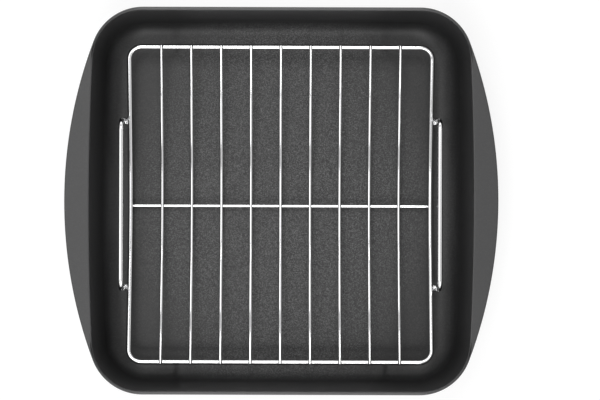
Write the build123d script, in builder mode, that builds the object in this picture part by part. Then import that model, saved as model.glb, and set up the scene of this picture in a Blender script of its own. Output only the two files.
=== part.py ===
from build123d import *
import os
from math import atan2, cos, degrees, radians, sin, sqrt, tan

# A roasting pan with a wire rack that lifts out. X runs across the two side flanges, Y from front to back,
# and Z up. The origin is the centre of the pan's underside.

# Pan: outline of the rim and its two side flanges, seen from above
PAN_WIDTH = 390.3
PAN_LENGTH = 348.5
PAN_HEIGHT = 72.0
RIM_CORNER_RADIUS = 47.7
FLANGE_ARC_RADIUS = 408.0
FLANGE_THICKNESS = 5.0
FLANGE_TOP_ROUND = 1.2
FLANGE_UNDER_ROUND = 1.6

# Pan: the mouth, and the band of rim between it and the outline
MOUTH_WIDTH = 346.2
RIM_BAND = 2.6
RIM_LIP = 0.6
MOUTH_CORNER_RADIUS = 45.2
MOUTH_SIDE_RADIUS = 2700.0
MOUTH_EDGE_ROUND = 0.9

# Pan: walls, floor and base
FLOOR_THICKNESS = 4.0
FLOOR_CORNER_RADIUS = 38.0
FLOOR_FILLET = 16.0
BASE_FILLET = 18.5
END_WALL_DRAFT = 5.2
SIDE_WALL_DRAFT = 7.0
OUTSIDE_DRAFT_SHARE = 0.85

# Pan: the thickened root under each flange, which slopes from near the flange's edge back to the wall
GUSSET_EDGE_INSET = 1.4
GUSSET_WALL_INSET = 0.5
GUSSET_DROP = 4.5

# Rack: wires, and the shallow V that they are bent to
FRAME_WIRE = 4.7
THIN_WIRE = 2.9
FRAME_SIDE_CLEARANCE = 33.05
FRAME_END_CLEARANCE = 26.15
FRAME_CORNER_RADIUS = 11.5
V_ANGLE = 9.2
V_BEND_RADIUS = 300.0
THIN_WIRE_COUNT = 9
OUTER_WIRE_GAP = 29.85
THIN_WIRE_TIP_INSET = 1.0
CROSS_WIRE_SHIFT = -1.3
WELD_SINK = 0.3
RACK_SHIFT_X = -0.75
RACK_SHIFT_Y = -3.4
DRIP_CLEARANCE = 4.5

# Rack: foot rails under the frame's two end wires
FOOT_WIRE = 3.0
FOOT_END_INSET = 41.65
FOOT_BEND_RADIUS = 7.0
FOOT_SPLAY = 2.0
FOOT_FLOOR_GAP = 0.3

# Handles, and the eyes that they swing in
HANDLE_WIRE = 4.5
HANDLE_HEIGHT = 44.0
HANDLE_PIVOT_SPAN = 158.0
HANDLE_TOP_SPAN = 151.6
HANDLE_CORNER_RADIUS = 9.0
PIN_DIAMETER = 2.2
PIN_BEND_RADIUS = 1.4
PIN_LEG_LENGTH = 3.0
PIN_TAPER_LENGTH = 3.0
PIN_OVERHANG = 0.8
PIN_RUNNING_CLEARANCE = 0.05
EYE_WALL = 0.95
EYE_LENGTH = 1.6
EYE_END_GAP = 0.25
EYE_FOOT_LENGTH = 2.6
EYE_FOOT_HEIGHT = 2.2

# Sizes of the pan that follow from those above
MOUTH_LENGTH = PAN_LENGTH - 2 * RIM_BAND
CAVITY_DEPTH = PAN_HEIGHT - FLOOR_THICKNESS
END_SLOPE = tan(radians(END_WALL_DRAFT))
SIDE_SLOPE = tan(radians(SIDE_WALL_DRAFT))
OUTER_END_SLOPE = END_SLOPE * OUTSIDE_DRAFT_SHARE
OUTER_SIDE_SLOPE = SIDE_SLOPE * OUTSIDE_DRAFT_SHARE
WALL_AT_RIM = RIM_BAND - RIM_LIP
SHELL_WIDTH = MOUTH_WIDTH + 2 * WALL_AT_RIM
SHELL_LENGTH = MOUTH_LENGTH + 2 * WALL_AT_RIM
FLANGE_UNDERSIDE = PAN_HEIGHT - FLANGE_THICKNESS
GUSSET_BOTTOM = FLANGE_UNDERSIDE - GUSSET_DROP
GUSSET_DEPTH = PAN_HEIGHT - GUSSET_BOTTOM

# Sizes of the rack that follow from those above, with the frame measured along the middle of its wire
FRAME_WIDTH = MOUTH_WIDTH - 2 * FRAME_SIDE_CLEARANCE
FRAME_LENGTH = MOUTH_LENGTH - 2 * FRAME_END_CLEARANCE
THIN_WIRE_PITCH = (FRAME_WIDTH - 2 * OUTER_WIRE_GAP) / (THIN_WIRE_COUNT - 1)
FOOT_LENGTH = FRAME_WIDTH - 2 * FOOT_END_INSET
V_SLOPE = tan(radians(V_ANGLE))
V_COSINE = cos(radians(V_ANGLE))
V_SINE = sin(radians(V_ANGLE))
ARM_START = V_BEND_RADIUS * V_SINE
FRAME_LOW = FLOOR_THICKNESS + DRIP_CLEARANCE + FRAME_WIRE / 2
FRAME_VERTEX = FRAME_LOW - V_BEND_RADIUS * (1 / V_COSINE - 1)
FRAME_END_HEIGHT = FRAME_VERTEX + FRAME_LENGTH / 2 * V_SLOPE
THIN_WIRE_LIFT = (FRAME_WIRE + THIN_WIRE) / 2 - WELD_SINK
CROSS_WIRE_HEIGHT = FRAME_LOW + THIN_WIRE_LIFT - THIN_WIRE + WELD_SINK

# Places of the handles and eyes that follow from those above
EYE_HOLE_RADIUS = PIN_DIAMETER / 2 + PIN_RUNNING_CLEARANCE
EYE_RADIUS = EYE_HOLE_RADIUS + EYE_WALL
EYE_FROM_CENTRE = HANDLE_PIVOT_SPAN / 2 - PIN_BEND_RADIUS - EYE_END_GAP - EYE_LENGTH / 2
PIN_TIP_FROM_CENTRE = EYE_FROM_CENTRE - EYE_LENGTH / 2 - PIN_OVERHANG
PIVOT_FROM_CENTRE = FRAME_WIDTH / 2 + FRAME_WIRE / 2 + EYE_RADIUS - WELD_SINK


def bowed_outline(width, length, corner_radius, side_radius):
    """Closed outline with straight ends, round corners and bowed sides that run smoothly into them."""
    side_centre = width / 2 - side_radius
    corner_y = length / 2 - corner_radius
    corner_x = side_centre + sqrt((side_radius - corner_radius) ** 2 - corner_y**2)
    turn = degrees(atan2(corner_y, corner_x - side_centre))
    with BuildLine() as outline:
        Line((0, length / 2), (corner_x, length / 2))
        CenterArc((corner_x, corner_y), corner_radius, turn, 90 - turn)
        CenterArc((side_centre, 0), side_radius, -turn, 2 * turn)
        CenterArc((corner_x, -corner_y), corner_radius, -90, 90 - turn)
        Line((corner_x, -length / 2), (0, -length / 2))
        mirror(about=Plane.YZ)
    return outline.wires()[0]


def rim_outline(inset):
    """The rim's outline with both side flanges, drawn in by the same amount all round."""
    width = PAN_WIDTH - 2 * inset
    length = PAN_LENGTH - 2 * inset
    return bowed_outline(width, length, RIM_CORNER_RADIUS - inset, FLANGE_ARC_RADIUS - inset)


def shell_outline(depth, inset):
    """The outside of the walls at a depth below the rim, drawn in by the same amount all round."""
    width = SHELL_WIDTH - 2 * depth * OUTER_SIDE_SLOPE - 2 * inset
    length = SHELL_LENGTH - 2 * depth * OUTER_END_SLOPE - 2 * inset
    corner_share = depth / PAN_HEIGHT
    corner_radius = MOUTH_CORNER_RADIUS + (FLOOR_CORNER_RADIUS - MOUTH_CORNER_RADIUS) * corner_share
    return bowed_outline(width, length, corner_radius + WALL_AT_RIM - inset, MOUTH_SIDE_RADIUS)


def frame_height(distance):
    """Height of the frame wire's centre at a distance along Y from the rack's middle."""
    if distance < ARM_START:
        return FRAME_LOW + V_BEND_RADIUS - sqrt(V_BEND_RADIUS**2 - distance**2)
    return FRAME_VERTEX + distance * V_SLOPE


def rack_point(x, y, z):
    """A point given from the rack's own middle, which lies a little off the pan's."""
    return (RACK_SHIFT_X + x, RACK_SHIFT_Y + y, z)


def sweep_wire(points, bend_radii, diameter):
    """Round wire along straight runs joined by arcs."""
    with BuildLine() as route:
        FilletPolyline(*points, radius=bend_radii)
    with BuildSketch(Plane(route.line @ 0, z_dir=route.line % 0)) as section:
        Circle(diameter / 2)
    sweep(section.sketch, path=route.line)


def finish(piece, name):
    """Label a finished piece and write it to its own file."""
    piece.label = name
    export_step(piece, f"parts/{name}.step")


os.makedirs("parts", exist_ok=True)

# The inside of the pan, as the solid that is taken out of it
with BuildPart() as cavity:
    with BuildSketch(Plane.XY.offset(FLOOR_THICKNESS)):
        floor_width = MOUTH_WIDTH - 2 * CAVITY_DEPTH * SIDE_SLOPE
        floor_length = MOUTH_LENGTH - 2 * CAVITY_DEPTH * END_SLOPE
        make_face(bowed_outline(floor_width, floor_length, FLOOR_CORNER_RADIUS, MOUTH_SIDE_RADIUS))
    with BuildSketch(Plane.XY.offset(PAN_HEIGHT)):
        make_face(bowed_outline(MOUTH_WIDTH, MOUTH_LENGTH, MOUTH_CORNER_RADIUS, MOUTH_SIDE_RADIUS))
    loft(ruled=True)
    fillet(cavity.edges().group_by(Axis.Z)[0], FLOOR_FILLET)

# The thickened root of the flanges
with BuildPart() as flange_root:
    with BuildSketch(Plane.XY.offset(GUSSET_BOTTOM)):
        make_face(shell_outline(GUSSET_DEPTH, GUSSET_WALL_INSET))
    with BuildSketch(Plane.XY.offset(FLANGE_UNDERSIDE)):
        make_face(rim_outline(GUSSET_EDGE_INSET))
    loft(ruled=True)

# The rim with its flanges, one flat plate with rounded edges
with BuildPart() as rim_plate:
    with BuildSketch(Plane.XY.offset(FLANGE_UNDERSIDE)):
        make_face(rim_outline(0))
    extrude(amount=FLANGE_THICKNESS)
    fillet(rim_plate.edges().group_by(Axis.Z)[-1], FLANGE_TOP_ROUND)
    fillet(rim_plate.edges().group_by(Axis.Z)[0], FLANGE_UNDER_ROUND)

# The whole casting
with BuildPart() as roasting_pan:
    with BuildSketch():
        make_face(shell_outline(PAN_HEIGHT, 0))
    with BuildSketch(Plane.XY.offset(PAN_HEIGHT)):
        make_face(shell_outline(0, 0))
    loft(ruled=True)
    fillet(roasting_pan.edges().group_by(Axis.Z)[0], BASE_FILLET)
    add(flange_root.part)
    add(rim_plate.part)
    add(cavity.part, mode=Mode.SUBTRACT)
    rim_face = roasting_pan.faces().sort_by(Axis.Z)[-1]
    fillet(rim_face.inner_wires()[0].edges(), MOUTH_EDGE_ROUND)
finish(roasting_pan.part, "roasting_pan")

# The frame: one loop of thick wire, drawn as its right half and mirrored
with BuildPart() as rack_frame:
    half_loop = [
        rack_point(0, -FRAME_LENGTH / 2, FRAME_END_HEIGHT),
        rack_point(FRAME_WIDTH / 2, -FRAME_LENGTH / 2, FRAME_END_HEIGHT),
        rack_point(FRAME_WIDTH / 2, 0, FRAME_VERTEX),
        rack_point(FRAME_WIDTH / 2, FRAME_LENGTH / 2, FRAME_END_HEIGHT),
        rack_point(0, FRAME_LENGTH / 2, FRAME_END_HEIGHT),
    ]
    sweep_wire(half_loop, [FRAME_CORNER_RADIUS, V_BEND_RADIUS, FRAME_CORNER_RADIUS], FRAME_WIRE)
    mirror(about=Plane.YZ.offset(RACK_SHIFT_X))
finish(rack_frame.part, "rack_frame")

# The thin wires, which lie on the frame's end wires and end just inside their outer edges
for number in range(THIN_WIRE_COUNT):
    wire_x = (number - (THIN_WIRE_COUNT - 1) / 2) * THIN_WIRE_PITCH
    tip_y = (FRAME_LENGTH + FRAME_WIRE) / 2 - THIN_WIRE_TIP_INSET
    vertex_height = FRAME_VERTEX + THIN_WIRE_LIFT / V_COSINE
    tip_height = vertex_height + tip_y * V_SLOPE
    with BuildPart() as rack_wire:
        wire_points = [
            rack_point(wire_x, -tip_y, tip_height),
            rack_point(wire_x, 0, vertex_height),
            rack_point(wire_x, tip_y, tip_height),
        ]
        sweep_wire(wire_points, [V_BEND_RADIUS - THIN_WIRE_LIFT], THIN_WIRE)
    finish(rack_wire.part, f"rack_wire_{number + 1}")

# The cross wire, under the thin wires just in front of their middle, butted between the frame's long sides
with BuildPart() as rack_cross_wire:
    with BuildSketch(Plane.YZ.offset(RACK_SHIFT_X)):
        with Locations((RACK_SHIFT_Y + CROSS_WIRE_SHIFT, CROSS_WIRE_HEIGHT)):
            Circle(THIN_WIRE / 2)
    extrude(amount=(FRAME_WIDTH - FRAME_WIRE) / 2 + WELD_SINK, both=True)
finish(rack_cross_wire.part, "rack_cross_wire")

# The foot rails, splayed out a little under the end wires
for end_name, end in (("back", 1), ("front", -1)):
    rail_height = FLOOR_THICKNESS + FOOT_FLOOR_GAP + FOOT_WIRE / 2
    rise = FRAME_END_HEIGHT - rail_height
    weld_share = (FRAME_WIRE / 2 - WELD_SINK) / sqrt(rise**2 + FOOT_SPLAY**2)
    top_y = end * (FRAME_LENGTH / 2 + FOOT_SPLAY * weld_share)
    top_height = FRAME_END_HEIGHT - rise * weld_share
    rail_y = end * (FRAME_LENGTH / 2 + FOOT_SPLAY)
    with BuildPart() as foot_rail:
        rail_points = [
            rack_point(-FOOT_LENGTH / 2, top_y, top_height),
            rack_point(-FOOT_LENGTH / 2, rail_y, rail_height),
            rack_point(FOOT_LENGTH / 2, rail_y, rail_height),
            rack_point(FOOT_LENGTH / 2, top_y, top_height),
        ]
        sweep_wire(rail_points, [FOOT_BEND_RADIUS, FOOT_BEND_RADIUS], FOOT_WIRE)
    finish(foot_rail.part, f"{end_name}_foot_rail")

# The two bails and the four eyes that their pins turn in; each eye and its foot reach into the frame's side
pivot_height = frame_height(EYE_FROM_CENTRE)
leg_rise = Vector(0, (HANDLE_TOP_SPAN - HANDLE_PIVOT_SPAN) / 2, HANDLE_HEIGHT).normalized()
for side_name, side in (("left", -1), ("right", 1)):
    pivot_x = side * PIVOT_FROM_CENTRE
    leg_foot = Vector(*rack_point(pivot_x, HANDLE_PIVOT_SPAN / 2, pivot_height))
    with BuildPart() as handle:
        bar_points = [
            rack_point(pivot_x, 0, pivot_height + HANDLE_HEIGHT),
            rack_point(pivot_x, HANDLE_TOP_SPAN / 2, pivot_height + HANDLE_HEIGHT),
            leg_foot + leg_rise * (PIN_LEG_LENGTH + PIN_TAPER_LENGTH),
        ]
        sweep_wire(bar_points, [HANDLE_CORNER_RADIUS], HANDLE_WIRE)
        with BuildSketch(Plane(leg_foot + leg_rise * PIN_LEG_LENGTH, z_dir=leg_rise)):
            Circle(PIN_DIAMETER / 2)
        with BuildSketch(Plane(bar_points[-1], z_dir=leg_rise)):
            Circle(HANDLE_WIRE / 2)
        loft()
        pin_points = [
            leg_foot + leg_rise * PIN_LEG_LENGTH,
            leg_foot,
            rack_point(pivot_x, PIN_TIP_FROM_CENTRE, pivot_height),
        ]
        sweep_wire(pin_points, [PIN_BEND_RADIUS], PIN_DIAMETER)
        mirror(about=Plane.XZ.offset(-RACK_SHIFT_Y))
    finish(handle.part, f"{side_name}_handle")

    for end_name, end in (("back", 1), ("front", -1)):
        eye_centre = rack_point(pivot_x, end * EYE_FROM_CENTRE, pivot_height)
        with BuildPart() as eye:
            with BuildSketch(Plane(eye_centre, x_dir=(0, 1, 0), z_dir=(0, 0, 1))):
                with BuildLine():
                    Polyline(
                        (-EYE_LENGTH / 2, 0),
                        (EYE_LENGTH / 2, 0),
                        (EYE_FOOT_LENGTH / 2, side * EYE_RADIUS),
                        (-EYE_FOOT_LENGTH / 2, side * EYE_RADIUS),
                        close=True,
                    )
                make_face()
            extrude(amount=EYE_FOOT_HEIGHT / 2, both=True)
            with BuildSketch(Plane(eye_centre, x_dir=(1, 0, 0), z_dir=(0, 1, 0))):
                Circle(EYE_RADIUS)
            extrude(amount=EYE_LENGTH / 2, both=True)
            with BuildSketch(Plane(eye_centre, x_dir=(1, 0, 0), z_dir=(0, 1, 0))):
                Circle(EYE_HOLE_RADIUS)
            extrude(amount=EYE_FOOT_LENGTH / 2, both=True, mode=Mode.SUBTRACT)
        finish(eye.part, f"{side_name}_{end_name}_eye")
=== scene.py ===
from math import asin, atan, atan2, cos, pi, radians, sin, sqrt, tan

import bmesh
import bpy
from bpy.props import FloatProperty, FloatVectorProperty, IntProperty, PointerProperty
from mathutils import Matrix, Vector


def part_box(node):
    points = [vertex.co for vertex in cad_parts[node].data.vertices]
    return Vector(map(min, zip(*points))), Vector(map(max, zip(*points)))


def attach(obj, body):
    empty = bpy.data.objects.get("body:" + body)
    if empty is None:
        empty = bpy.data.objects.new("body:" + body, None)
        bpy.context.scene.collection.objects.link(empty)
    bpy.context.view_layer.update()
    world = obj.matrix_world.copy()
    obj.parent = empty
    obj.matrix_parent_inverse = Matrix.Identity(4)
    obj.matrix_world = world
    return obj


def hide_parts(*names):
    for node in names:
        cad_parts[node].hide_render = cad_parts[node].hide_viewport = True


bl_info = {
    "name": "Roasting Pan Dressing",
    "version": (1, 0, 0),
    "blender": (4, 5, 0),
    "location": "View3D > Sidebar > Roasting Pan",
    "description": "Dresses the packed frame of a roasting pan and its wire rack",
    "category": "Object",
}

# The frame, and the places that it gives
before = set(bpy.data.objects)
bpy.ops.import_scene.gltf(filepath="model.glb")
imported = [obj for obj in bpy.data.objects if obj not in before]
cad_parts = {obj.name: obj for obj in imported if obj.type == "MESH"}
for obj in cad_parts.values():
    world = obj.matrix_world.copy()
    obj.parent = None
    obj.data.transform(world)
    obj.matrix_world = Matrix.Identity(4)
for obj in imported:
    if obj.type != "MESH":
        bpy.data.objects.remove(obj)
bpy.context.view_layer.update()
MM = 0.001

PAN_LOW, PAN_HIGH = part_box("roasting_pan")
PAN_WIDTH = PAN_HIGH.x - PAN_LOW.x
PAN_LENGTH = PAN_HIGH.y - PAN_LOW.y
PAN_HEIGHT = PAN_HIGH.z - PAN_LOW.z

LOOP_LOW, LOOP_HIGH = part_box("rack_frame")
WIRE_LOW, WIRE_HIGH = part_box("rack_wire_1")
LAST_WIRE_LOW, LAST_WIRE_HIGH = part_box("rack_wire_9")
CROSS_LOW, CROSS_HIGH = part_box("rack_cross_wire")
RAIL_LOW, RAIL_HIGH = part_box("back_foot_rail")
BAIL_LOW, BAIL_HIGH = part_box("right_handle")
EYE_LOW, EYE_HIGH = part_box("right_back_eye")

THIN_WIRE_COUNT = 9
LOOP_WIRE = 4.7 * MM
BAIL_WIRE = BAIL_HIGH.x - BAIL_LOW.x
THIN_WIRE = WIRE_HIGH.x - WIRE_LOW.x
RACK_MIDDLE = (LOOP_LOW + LOOP_HIGH) / 2
LOOP_WIDTH = LOOP_HIGH.x - LOOP_LOW.x - LOOP_WIRE
LOOP_LENGTH = LOOP_HIGH.y - LOOP_LOW.y - LOOP_WIRE
LOOP_FLOOR = LOOP_LOW.z + LOOP_WIRE / 2
LOOP_TOP = LOOP_HIGH.z - LOOP_WIRE / 2
CROSS_WIRE = (CROSS_LOW + CROSS_HIGH) / 2
PIVOT = (EYE_LOW + EYE_HIGH) / 2
PIVOT_FROM_MIDDLE = PIVOT.x - RACK_MIDDLE.x
EYE_FROM_MIDDLE = PIVOT.y - RACK_MIDDLE.y
EYE_RADIUS = (EYE_HIGH.z - EYE_LOW.z) / 2

RIM_ATTRIBUTE = "rim"


# Sizes and finishes that can be set


def length(name, default, description):
    """A size property in metres, shown with its unit."""
    return FloatProperty(name=name, default=default, description=description, unit="LENGTH", min=0.0)


def slope(name, default, description):
    """An angle property."""
    return FloatProperty(name=name, default=default, description=description, subtype="ANGLE")


def fraction(name, default, description):
    """A property from 0 to 1."""
    span = {"subtype": "FACTOR", "min": 0.0, "max": 1.0}
    return FloatProperty(name=name, default=default, description=description, **span)


def colour(name, default, description):
    """A colour property."""
    return FloatVectorProperty(name=name, default=default, description=description, subtype="COLOR", size=3)


class PanSizes(bpy.types.PropertyGroup):
    """Sizes of the casting that its overall box doesn't give"""

    corner_radius: length("Rim corner", 47.7 * MM, "Radius of the rim's corners")
    flange_arc: length("Flange arc", 408 * MM, "Radius of each side flange's bowed edge")
    flange_thickness: length("Flange thickness", 5 * MM, "Thickness of the rim and flanges")
    edge_round: length("Edge round", 1.25 * MM, "Width of the soft rounding of the rim's edges")
    edge_drop: length("Edge drop", 0.5 * MM, "How far that rounding falls")
    under_round: length("Under round", 1.6 * MM, "Rounding of the flange's lower edge")
    mouth_width: length("Mouth width", 346.2 * MM, "Width of the mouth")
    rim_band: length("Rim band", 2.6 * MM, "Width of the rim at the front and back")
    rim_fade: length("Rim fade", 5 * MM, "Width of flat at which the rim counts as a flange")
    rim_lip: length("Rim lip", 0.6 * MM, "How far the rim stands out over the front and back walls")
    mouth_corner: length("Mouth corner", 45.2 * MM, "Radius of the mouth's corners")
    side_bow: length("Side bow", 2700 * MM, "Radius that the side walls are bowed to")
    floor_thickness: length("Floor thickness", 4 * MM, "Thickness of the floor")
    floor_corner: length("Floor corner", 38 * MM, "Radius of the corners at floor level")
    end_fillet: length("End fillet", 16 * MM, "Radius between the floor and the front and back walls")
    side_fillet: length("Side fillet", 19.5 * MM, "Radius between the floor and the side walls")
    base_fillet: length("Base fillet", 18.5 * MM, "Radius between the base and the walls outside")
    end_draft: slope("End draft", radians(5.2), "Lean of the front and back walls")
    side_draft: slope("Side draft", radians(7), "Lean of the side walls")
    outside_draft_share: fraction("Outside draft", 0.85, "Draft of the outside as a share of the inside's")
    root_depth: length("Root depth", 4.5 * MM, "How far the root runs down the wall below the flange")
    root_blend: length("Root blend", 5 * MM, "Length of the soft blend between root and wall")


class RackSizes(bpy.types.PropertyGroup):
    """Sizes of the rack and its handles that the nodes' boxes don't give"""

    loop_corner: length("Loop corner", 11.5 * MM, "Bend radius of the frame loop's corners")
    vee_slope: slope("V slope", radians(9.2), "Slope of the rack's two arms")
    vee_radius: length("V radius", 300 * MM, "Bend radius at the bottom of the V")
    tip_inset: length("Tip inset", 1.0 * MM, "How far thin wires end inside the end wires' outer edges")
    weld_sink: length("Weld sink", 0.3 * MM, "How far welded wires sink into each other")
    foot_wire: length("Foot wire", 3 * MM, "Diameter of the foot rails' wire")
    foot_bend: length("Foot bend", 7 * MM, "Bend radius of the foot rails")
    foot_splay: length("Foot splay", 2 * MM, "How far each foot rail leans out")
    bail_height: length("Handle height", 44 * MM, "Height of the handle's bar over its pivots")
    bail_foot_span: length("Handle foot span", 158 * MM, "Distance between a handle's two feet")
    bail_top_span: length("Handle top span", 151.6 * MM, "Distance between a handle's two upper corners")
    bail_corner: length("Handle corner", 9 * MM, "Bend radius of the handle's upper corners")
    pin: length("Pin", 2.2 * MM, "Diameter of the swaged pin ends")
    pin_bend: length("Pin bend", 1.4 * MM, "Bend radius between leg and pin")
    pin_leg: length("Pin leg", 3 * MM, "Length of leg that is as thin as the pin")
    pin_taper: length("Pin taper", 3 * MM, "Length over which the leg swells to the full wire")
    pin_overhang: length("Pin overhang", 0.8 * MM, "How far the pin reaches past its eye")
    eye_hole: length("Eye hole", 2.3 * MM, "Bore of the eyes")
    eye_length: length("Eye length", 1.6 * MM, "Length of the eyes along the pin")
    eye_round: length("Eye round", 0.35 * MM, "Rounding of the eyes' edges")
    end_round: length("End round", 0.25 * MM, "Chamfer at cut wire ends")
    wire_sides: IntProperty(name="Wire sides", default=28, min=8, description="Facets round each wire")


class Finishes(bpy.types.PropertyGroup):
    """Colours, painted sheen and roughness of the surfaces"""

    coating: colour("Coating", (0.007, 0.007, 0.0072), "Non-stick coating")
    # Paler flecks: the coating's grain, and painted glints where they are made stronger on the floor and
    # rim.
    coating_fleck_and_glint: colour("Coating fleck", (0.112, 0.112, 0.113), "Paler grains in the coating")
    # Painted sheen: a paler coating tone blended onto the rim, the flange tops and the upper side walls.
    painted_sheen_tone: colour("Rim wear", (0.085, 0.085, 0.086), "Coating on the rim, worn paler")
    plating: colour("Plating", (0.64, 0.64, 0.645), "Bright plating on the wires")
    weld: colour("Weld", (0.40, 0.395, 0.39), "Plating over the welds")
    backdrop: colour("Backdrop", (0.9, 0.9, 0.9), "Floor under the pan")
    wall_grain: fraction("Wall grain", 0.16, "Strength of the coating's grain on the walls")
    # Grain made stronger on the floor: painted glints and painted light, fading as painted shade toward the
    # corners and sides.
    floor_grain_and_glint: fraction("Floor grain", 0.84, "Strength that the grain gains on the floor")
    # Extra paler flecks on the narrow rim: grain, and painted sheen.
    rim_grain_and_sheen: fraction("Rim grain", 0.3, "Strength that the grain gains on the narrow rim")
    # Painted sheen on the flat tops of the rim and flanges and on their edge rounds.
    painted_top_sheen: fraction("Edge wear", 0.37, "Wear of the rounded edges of the mouth and the flanges")
    # Painted sheen on the narrow rim.
    painted_rim_band_sheen: fraction("Rim band wear", 0.95, "Wear of the narrow rim")
    # Painted light on the upper side walls, paler toward the rim.
    painted_wall_light: fraction("Wall wear", 0.06, "Wear at the top of the side walls")
    coating_roughness: fraction("Coating roughness", 0.47, "Roughness of the coating")
    plating_roughness: fraction("Plating roughness", 0.09, "Roughness of the plating")
    weld_roughness: fraction("Weld roughness", 0.24, "Roughness of the plating over the welds")


# Materials


class Signal:
    """A shader socket that Python's operators extend with Math nodes."""

    def __init__(self, graph, socket):
        self.graph = graph
        self.socket = socket

    def math(self, operation, first, second, clamp=False):
        """A Math node on two values."""
        settings = {"operation": operation, "use_clamp": clamp}
        return self.graph.add("ShaderNodeMath", settings, {0: first, 1: second})

    def __add__(self, other):
        return self.math("ADD", self, other)

    def __radd__(self, other):
        return self.math("ADD", other, self)

    def __sub__(self, other):
        return self.math("SUBTRACT", self, other)

    def __rsub__(self, other):
        return self.math("SUBTRACT", other, self)

    def __mul__(self, other):
        return self.math("MULTIPLY", self, other)

    def __truediv__(self, other):
        return self.math("DIVIDE", self, other)

    def __abs__(self):
        return self.math("ABSOLUTE", self, 0.0)

    def power(self, exponent):
        """The value raised to a power."""
        return self.math("POWER", self, exponent)

    def clamped(self):
        """The value held between 0 and 1."""
        return self.math("ADD", self, 0.0, clamp=True)

    def at_least(self, other):
        """The larger of this value and another."""
        return self.math("MAXIMUM", self, other)


class Graph:
    """A material's or world's node tree, with one method that adds any node."""

    def __init__(self, owner):
        self.owner = owner
        owner.use_nodes = True
        self.tree = owner.node_tree
        self.tree.nodes.clear()

    def add(self, kind, settings=None, sockets=None, output=0):
        """Add a node, set it, link or fill its sockets and hand back one output."""
        node = self.tree.nodes.new(kind)
        for name, value in (settings or {}).items():
            setattr(node, name, value)
        for key, value in (sockets or {}).items():
            if isinstance(value, Signal):
                self.tree.links.new(value.socket, node.inputs[key])
            else:
                node.inputs[key].default_value = value
        return Signal(self, node.outputs[output]) if node.outputs else None

    def split(self, vector):
        """The x, y and z of a vector."""
        first_part = self.add("ShaderNodeSeparateXYZ", sockets={0: vector})
        return [Signal(self, socket) for socket in first_part.socket.node.outputs]

    def noise(self, vector, scale, detail):
        """Noise from 0 to 1, at a number of grains per metre."""
        sockets = {"Vector": vector, "Scale": scale, "Detail": detail}
        return self.add("ShaderNodeTexNoise", {"normalize": True}, sockets)

    def blend(self, share, first, second):
        """A colour that goes from the first to the second, through the Mix node's colour sockets."""
        sockets = {"Factor": share, 6: first, 7: second}
        return self.add("ShaderNodeMix", {"data_type": "RGBA"}, sockets, output=2)


def rgba(three):
    """A colour with full alpha."""
    return (*three, 1.0)


def surface(tone, roughness, relief, relief_depth, constants):
    """The end of a material: one surface with a bump, and fixed values on the shader's own sockets."""
    graph = tone.graph
    bump_sockets = {"Strength": 1.0, "Distance": relief_depth, "Height": relief}
    bump = graph.add("ShaderNodeBump", sockets=bump_sockets)
    sockets = {"Base Color": tone, "Roughness": roughness, "Normal": bump, **constants}
    shader = graph.add("ShaderNodeBsdfPrincipled", sockets=sockets)
    graph.add("ShaderNodeOutputMaterial", sockets={"Surface": shader})
    return graph.owner


# Finish of the coating, with grains and clouds counted per metre

COATING_GRAINS = 1700.0
GRAIN_CONTRAST = 2.5
GRAIN_ROUGHNESS = 0.2
GRAIN_DEPTH = 0.04 * MM
COATING_CLOUDS = 14.0
CLOUD_ROUGHNESS = 0.05
# Reach of the floor's painted light: the paler flecks fall off as painted shade toward the corners and the
# side fillets.
LIT_HALF_WIDTH = PAN_WIDTH / 3
LIT_HALF_LENGTH = PAN_LENGTH / 2.7
SIDE_FADE_START = PAN_WIDTH / 2.6
FADE_TO_SIDES = 0.3
FADE_AT_SIDES = 0.75
FADE_TO_ENDS = 0.03


def lit_floor_share(to_side, to_end, at_side):
    """How much of the flecks' painted light shows on the floor: most in the middle, least in the corners,
    falling off as painted shade.
    """
    faded = to_side * to_end + to_side * FADE_TO_SIDES + at_side * FADE_AT_SIDES + to_end * FADE_TO_ENDS
    return (1.0 - faded).clamped()


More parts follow.
